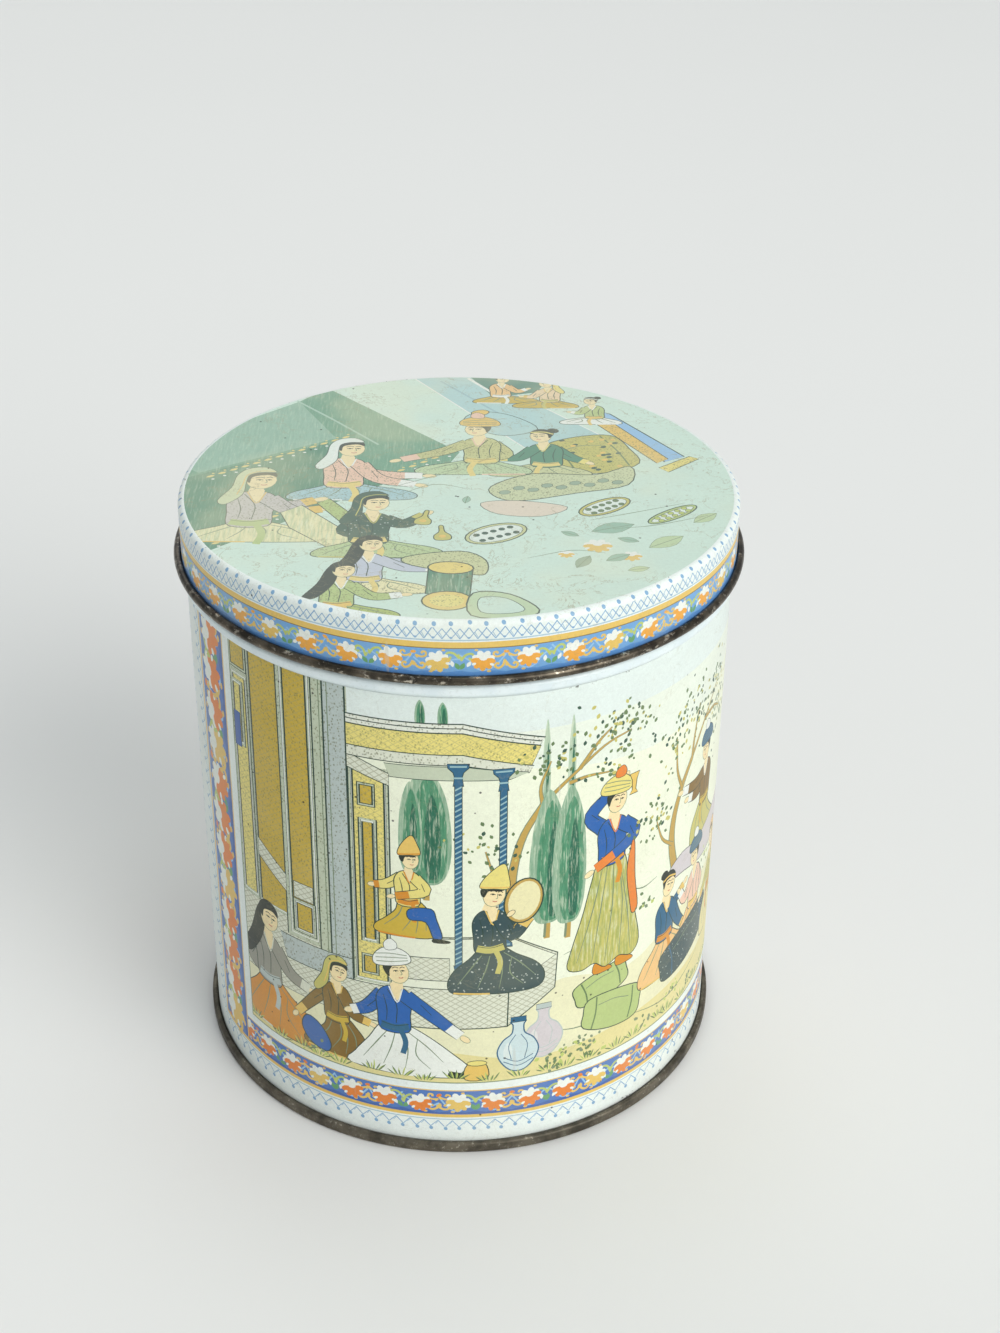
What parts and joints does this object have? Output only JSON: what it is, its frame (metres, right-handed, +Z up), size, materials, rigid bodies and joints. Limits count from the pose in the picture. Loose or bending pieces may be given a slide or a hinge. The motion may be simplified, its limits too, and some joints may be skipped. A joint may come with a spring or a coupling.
{
  "type": "round slip-lid tin",
  "caption": "Round printed tinplate tin with a slip-on lid that lifts off, a rolled body with stop bead and folded side seam, and a double-seamed base.",
  "frame": {"origin": "centre of the circle the tin stands on, at floor level", "axes": "+Z up along the tin's axis, -Y towards the front, +X to the right of someone facing the front"},
  "size_m": [0.1092, 0.1092, 0.12],
  "materials": {
    "printed_tinplate": "printed and varnished tinplate, worn at the edges",
    "bare_tinplate": "bare tinplate, dulled and tarnished",
    "sealing_compound": "cured compound film"
  },
  "bodies": {
    "can": {"body_wall": "printed_tinplate", "base_end": "bare_tinplate", "seam_compound": "sealing_compound"},
    "lid": {"lid_cap": "printed_tinplate"}
  },
  "joints": [
    {"name": "lid_lift", "type": "slide", "parent": "can", "child": "lid", "axis": [0, 0, 1], "range_m": [0, 0.04]}
  ]
}
